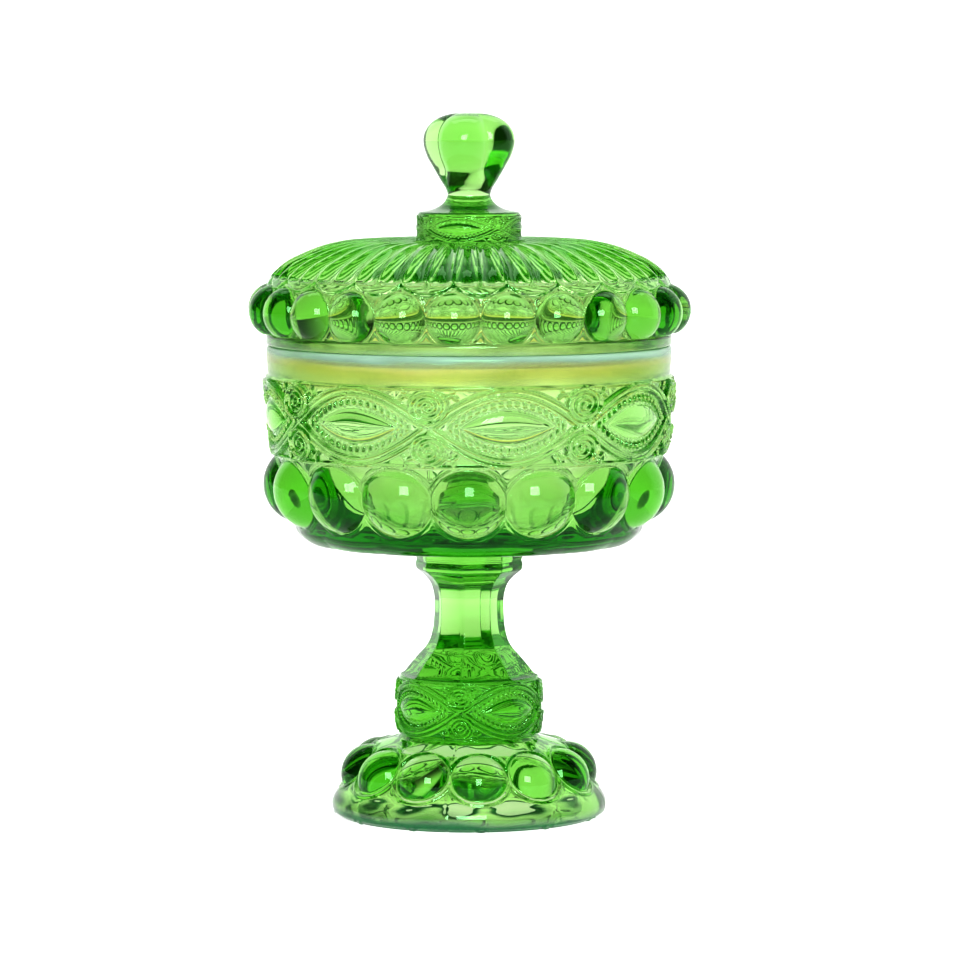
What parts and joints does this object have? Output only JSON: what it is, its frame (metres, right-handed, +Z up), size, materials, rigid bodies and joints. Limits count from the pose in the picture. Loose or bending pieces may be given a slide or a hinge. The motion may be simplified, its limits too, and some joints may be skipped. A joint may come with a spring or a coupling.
{
  "type": "covered candy dish",
  "caption": "Covered candy dish of green pressed glass: round bowl on a waisted stem and domed foot, with a lift-off domed lid and a lobed finial.",
  "frame": {"origin": "centre of the foot's base ring, on the table", "axes": "+Z up along the axis of the dish and the lid; -Y is the front"},
  "size_m": [0.111, 0.111, 0.1765],
  "materials": {
    "green_glass": "fire-polished clear green glass, opalescent at the rims and the foot's edge"
  },
  "bodies": {
    "dish": {"foot": "green_glass", "stem": "green_glass", "bowl": "green_glass"},
    "cover": {"lid": "green_glass", "finial": "green_glass"}
  },
  "joints": [
    {"name": "lid_lift", "type": "slide", "parent": "dish", "child": "cover", "axis": [0, 0, 1], "range_m": [0, 0.08]}
  ]
}
